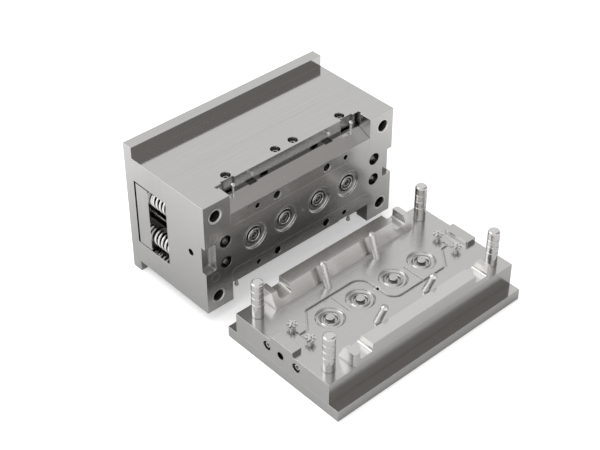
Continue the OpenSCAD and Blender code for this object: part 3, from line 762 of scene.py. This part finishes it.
class MOULD_OT_return_springs(bpy.types.Operator):
    """Wind the four return springs around their pins"""

    bl_idname = "mould.return_springs"
    bl_label = "Return Springs"

    def execute(self, context):
        finish = context.scene.mould_finish
        sizes = context.scene.mould_springs
        steel = turned_steel("spring_steel", finish.spring_colour, finish.spring_roughness,
                             finish.small_edge, reach=0.004, darkest=0.04)
        low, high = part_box("return_springs")
        middle = (low + high) / 2
        length = high.y - low.y
        coil = (sizes.outside - sizes.wire) / 2
        reach_x = (high.x - low.x - sizes.outside) / 2
        reach_z = (high.z - low.z - sizes.outside) / 2
        for sideways, end in ((-1, "left"), (1, "right")):
            for up, row in ((1, "upper"), (-1, "lower")):
                name = f"return_spring_{end}_{row}"
                data = wound_spring(name, coil, sizes.wire, length, sizes.turns,
                                    WIRE_START * up)
                data.transform(Matrix.Rotation(-math.pi / 2, 4, "X"))
                seat = Vector((middle.x + sideways * reach_x, low.y, middle.z + up * reach_z))
                data.transform(Matrix.Translation(seat))
                spring = bpy.data.objects.new(name, data)
                context.scene.collection.objects.link(spring)
                give_finish(spring, steel)
                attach(spring, "moving_half")
                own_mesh(spring)
                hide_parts("return_springs")
        return {"FINISHED"}


class MOULD_OT_slide_springs(bpy.types.Operator):
    """Finish the small springs around the slide rods"""

    bl_idname = "mould.slide_springs"
    bl_label = "Slide Springs"

    def execute(self, context):
        finish = context.scene.mould_finish
        steel = turned_steel("slide_spring_steel", finish.spring_colour,
                             finish.slide_spring_roughness, finish.small_edge)
        dress(SLIDE_SPRINGS, steel)
        return {"FINISHED"}


def nearness(tree, ray, direction, x, y):
    """How near a ray points to a direction, as the cosine of the angle between them."""
    node = add_node(tree, "ShaderNodeVectorMath", x, y, operation="DOT_PRODUCT")
    node.inputs[1].default_value = direction
    tree.links.new(ray, node.inputs[0])
    return node.outputs["Value"]


def studio_world(stage):
    """A bright studio with a dark curtain and a light panel, white to the camera."""
    world = bpy.data.worlds.new("studio")
    world.use_nodes = True
    tree = world.node_tree
    walls = tree.nodes["Background"]
    ray = add_node(tree, "ShaderNodeTexCoord", -1200, 0).outputs["Generated"]

    curtain = nearness(tree, ray, CURTAIN_DIRECTION, -1000, 0)
    sky = map_range(tree, curtain, (CURTAIN_EDGE, 1), (stage.bright_sky, stage.dark_sky),
                    -800, 0)
    tint = two_tones(tree, curtain, (CURTAIN_EDGE, WHITE), (1, CURTAIN_TINT), -600, 200)
    panel = nearness(tree, ray, PANEL_DIRECTION, -1000, -300)
    added = map_range(tree, panel, (PANEL_EDGE, PANEL_FULL), (0, stage.left_panel),
                      -800, -300, "SMOOTHSTEP")
    level = add_node(tree, "ShaderNodeMath", -600, -200, operation="ADD")
    tree.links.new(sky, level.inputs[0])
    tree.links.new(added, level.inputs[1])
    tree.links.new(tint, walls.inputs["Color"])
    tree.links.new(level.outputs[0], walls.inputs["Strength"])

    backdrop = add_node(tree, "ShaderNodeBackground", -200, -200)
    backdrop.inputs["Color"].default_value = (*WHITE, 1)
    backdrop.inputs["Strength"].default_value = 1
    rays = add_node(tree, "ShaderNodeLightPath", -400, 300)
    choose = add_node(tree, "ShaderNodeMixShader", 0, 100)
    tree.links.new(rays.outputs["Is Camera Ray"], choose.inputs[0])
    tree.links.new(walls.outputs[0], choose.inputs[1])
    tree.links.new(backdrop.outputs[0], choose.inputs[2])
    tree.links.new(choose.outputs[0], tree.nodes["World Output"].inputs["Surface"])
    return world


def distance_from_mould(tree, x, y):
    """How far a place on the floor lies outside the mould's box."""
    place = add_node(tree, "ShaderNodeTexCoord", x, y).outputs["Object"]
    axes = split_axes(tree, place, x + 200, y)
    away = add_node(tree, "ShaderNodeMath", x + 800, y, operation="MAXIMUM")
    for k, axis in enumerate("XY"):
        size = add_node(tree, "ShaderNodeMath", x + 400, y - 200 * k, operation="ABSOLUTE")
        beyond = add_node(tree, "ShaderNodeMath", x + 600, y - 200 * k, operation="SUBTRACT")
        beyond.inputs[1].default_value = CAD_BOX[1][k]
        tree.links.new(axes[axis], size.inputs[0])
        tree.links.new(size.outputs[0], beyond.inputs[0])
        tree.links.new(beyond.outputs[0], away.inputs[k])
    return away.outputs[0]


def floor_paint(stage):
    """Pale floor that stays nearly white to the camera and keeps the mould's shadow; to the steel's
    reflections it is painted darker near the mould.
    """
    material = bpy.data.materials.new("floor_paint")
    material.use_nodes = True
    tree = material.node_tree
    tree.nodes.clear()
    output = add_node(tree, "ShaderNodeOutputMaterial", 400, 0)
    rays = add_node(tree, "ShaderNodeLightPath", -1000, -100)
    away = distance_from_mould(tree, -2000, 300)
    # Painted shade: as the steel mirrors it, the floor is darker near the mould and brighter
    # farther off.
    reflected_floor_shade = map_range(tree, away, (0, stage.floor_reach), (stage.floor_near, stage.floor_far),
                         -1000, 300, "SMOOTHSTEP")
    shade = add_node(tree, "ShaderNodeMix", -700, 300, data_type="FLOAT")
    shade.inputs["A"].default_value = stage.floor_white
    tree.links.new(rays.outputs["Is Glossy Ray"], shade.inputs["Factor"])
    tree.links.new(reflected_floor_shade, shade.inputs["B"])
    paint = add_node(tree, "ShaderNodeBsdfDiffuse", -200, 100)
    tree.links.new(shade.outputs["Result"], paint.inputs["Color"])

    strength = add_node(tree, "ShaderNodeMath", -400, -100, operation="MULTIPLY")
    strength.inputs[1].default_value = stage.floor_glow
    glow = add_node(tree, "ShaderNodeEmission", -200, -100)
    glow.inputs["Color"].default_value = (*WHITE, 1)
    both = add_node(tree, "ShaderNodeAddShader", 200, 0)
    tree.links.new(rays.outputs["Is Camera Ray"], strength.inputs[0])
    tree.links.new(strength.outputs[0], glow.inputs["Strength"])
    tree.links.new(paint.outputs[0], both.inputs[0])
    tree.links.new(glow.outputs[0], both.inputs[1])
    tree.links.new(both.outputs[0], output.inputs["Surface"])
    return material


def lay_floor(scene, stage):
    """A wide floor just under the mould."""
    grid = bmesh.new()
    bmesh.ops.create_grid(grid, x_segments=1, y_segments=1, size=FLOOR_HALF_SIDE)
    data = bpy.data.meshes.new("floor")
    grid.to_mesh(data)
    grid.free()
    floor = bpy.data.objects.new("floor", data)
    floor.location = (0, 0, CAD_BOX[0][2] - FLOOR_DROP)
    scene.collection.objects.link(floor)
    give_finish(floor, floor_paint(stage))


def hang_lamp(scene, stage):
    """One large soft lamp overhead, aimed at the middle of the floor."""
    data = bpy.data.lights.new("overhead_lamp", "AREA")
    data.shape = "DISK"
    data.size = LAMP_SIZE
    data.energy = stage.lamp_power
    lamp = bpy.data.objects.new("overhead_lamp", data)
    lamp.location = LAMP_PLACE
    lamp.rotation_euler = (-LAMP_PLACE).to_track_quat("-Z", "Y").to_euler()
    # Mirrored in flat steel, the lamp would turn whole faces white.
    lamp.visible_glossy = False
    scene.collection.objects.link(lamp)


def set_camera(scene, stage):
    """The camera, aimed by its heading and its drop."""
    data = bpy.data.cameras.new("camera")
    data.lens = stage.lens
    data.sensor_width = SENSOR_WIDTH
    data.clip_end = CAMERA_REACH
    camera = bpy.data.objects.new("camera", data)
    heading, drop = stage.camera_heading, stage.camera_drop
    aim = Vector((math.cos(heading) * math.cos(drop),
                  math.sin(heading) * math.cos(drop), -math.sin(drop)))
    camera.location = stage.camera_place
    camera.rotation_euler = aim.to_track_quat("-Z", "Y").to_euler()
    scene.collection.objects.link(camera)
    scene.camera = camera


class MOULD_OT_stage(bpy.types.Operator):
    """Lay the floor, light the studio and set up the camera"""

    bl_idname = "mould.stage"
    bl_label = "Stage"

    def execute(self, context):
        scene = context.scene
        stage = scene.mould_stage
        lay_floor(scene, stage)
        scene.world = studio_world(stage)
        hang_lamp(scene, stage)
        set_camera(scene, stage)
        scene.view_settings.view_transform = "Standard"
        return {"FINISHED"}


class MOULD_PT_panel(bpy.types.Panel):
    """Lists the pieces of the mould and their settings"""

    bl_label = "Injection Mould"
    bl_idname = "MOULD_PT_panel"
    bl_space_type = "VIEW_3D"
    bl_region_type = "UI"
    bl_category = "Mould"

    def draw(self, context):
        layout = self.layout
        for operator in OPERATORS:
            layout.operator(operator.bl_idname)
        for title, group in (
            ("Finish", context.scene.mould_finish),
            ("Springs", context.scene.mould_springs),
            ("Stage", context.scene.mould_stage),
        ):
            box = layout.box()
            box.label(text=title)
            for name in group.__annotations__:
                box.prop(group, name)


OPERATORS = (
    MOULD_OT_clamp_plates,
    MOULD_OT_spacer_rails,
    MOULD_OT_ejector_plates,
    MOULD_OT_parting_plates,
    MOULD_OT_slides,
    MOULD_OT_heel_blocks,
    MOULD_OT_inserts,
    MOULD_OT_polished_pins,
    MOULD_OT_satin_pins,
    MOULD_OT_return_pins,
    MOULD_OT_guide_bushes,
    MOULD_OT_small_pieces,
    MOULD_OT_coolant_fittings,
    MOULD_OT_screws,
    MOULD_OT_return_springs,
    MOULD_OT_slide_springs,
    MOULD_OT_stage,
)
GROUPS = (MouldFinish, MouldSprings, MouldStage)
CLASSES = GROUPS + OPERATORS + (MOULD_PT_panel,)


def register():
    """Makes the settings, operators and panel known to Blender."""
    for cls in CLASSES:
        bpy.utils.register_class(cls)
    bpy.types.Scene.mould_finish = bpy.props.PointerProperty(type=MouldFinish)
    bpy.types.Scene.mould_springs = bpy.props.PointerProperty(type=MouldSprings)
    bpy.types.Scene.mould_stage = bpy.props.PointerProperty(type=MouldStage)


def unregister():
    """Takes back what register did."""
    del bpy.types.Scene.mould_stage
    del bpy.types.Scene.mould_springs
    del bpy.types.Scene.mould_finish
    for cls in reversed(CLASSES):
        bpy.utils.unregister_class(cls)


def main():
    """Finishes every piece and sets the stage."""
    register()
    bpy.ops.mould.clamp_plates()
    bpy.ops.mould.spacer_rails()
    bpy.ops.mould.ejector_plates()
    bpy.ops.mould.parting_plates()
    bpy.ops.mould.slides()
    bpy.ops.mould.heel_blocks()
    bpy.ops.mould.inserts()
    bpy.ops.mould.polished_pins()
    bpy.ops.mould.satin_pins()
    bpy.ops.mould.return_pins()
    bpy.ops.mould.guide_bushes()
    bpy.ops.mould.small_pieces()
    bpy.ops.mould.coolant_fittings()
    bpy.ops.mould.screws()
    bpy.ops.mould.return_springs()
    bpy.ops.mould.slide_springs()
    bpy.ops.mould.stage()


if __name__ == "__main__":
    main()
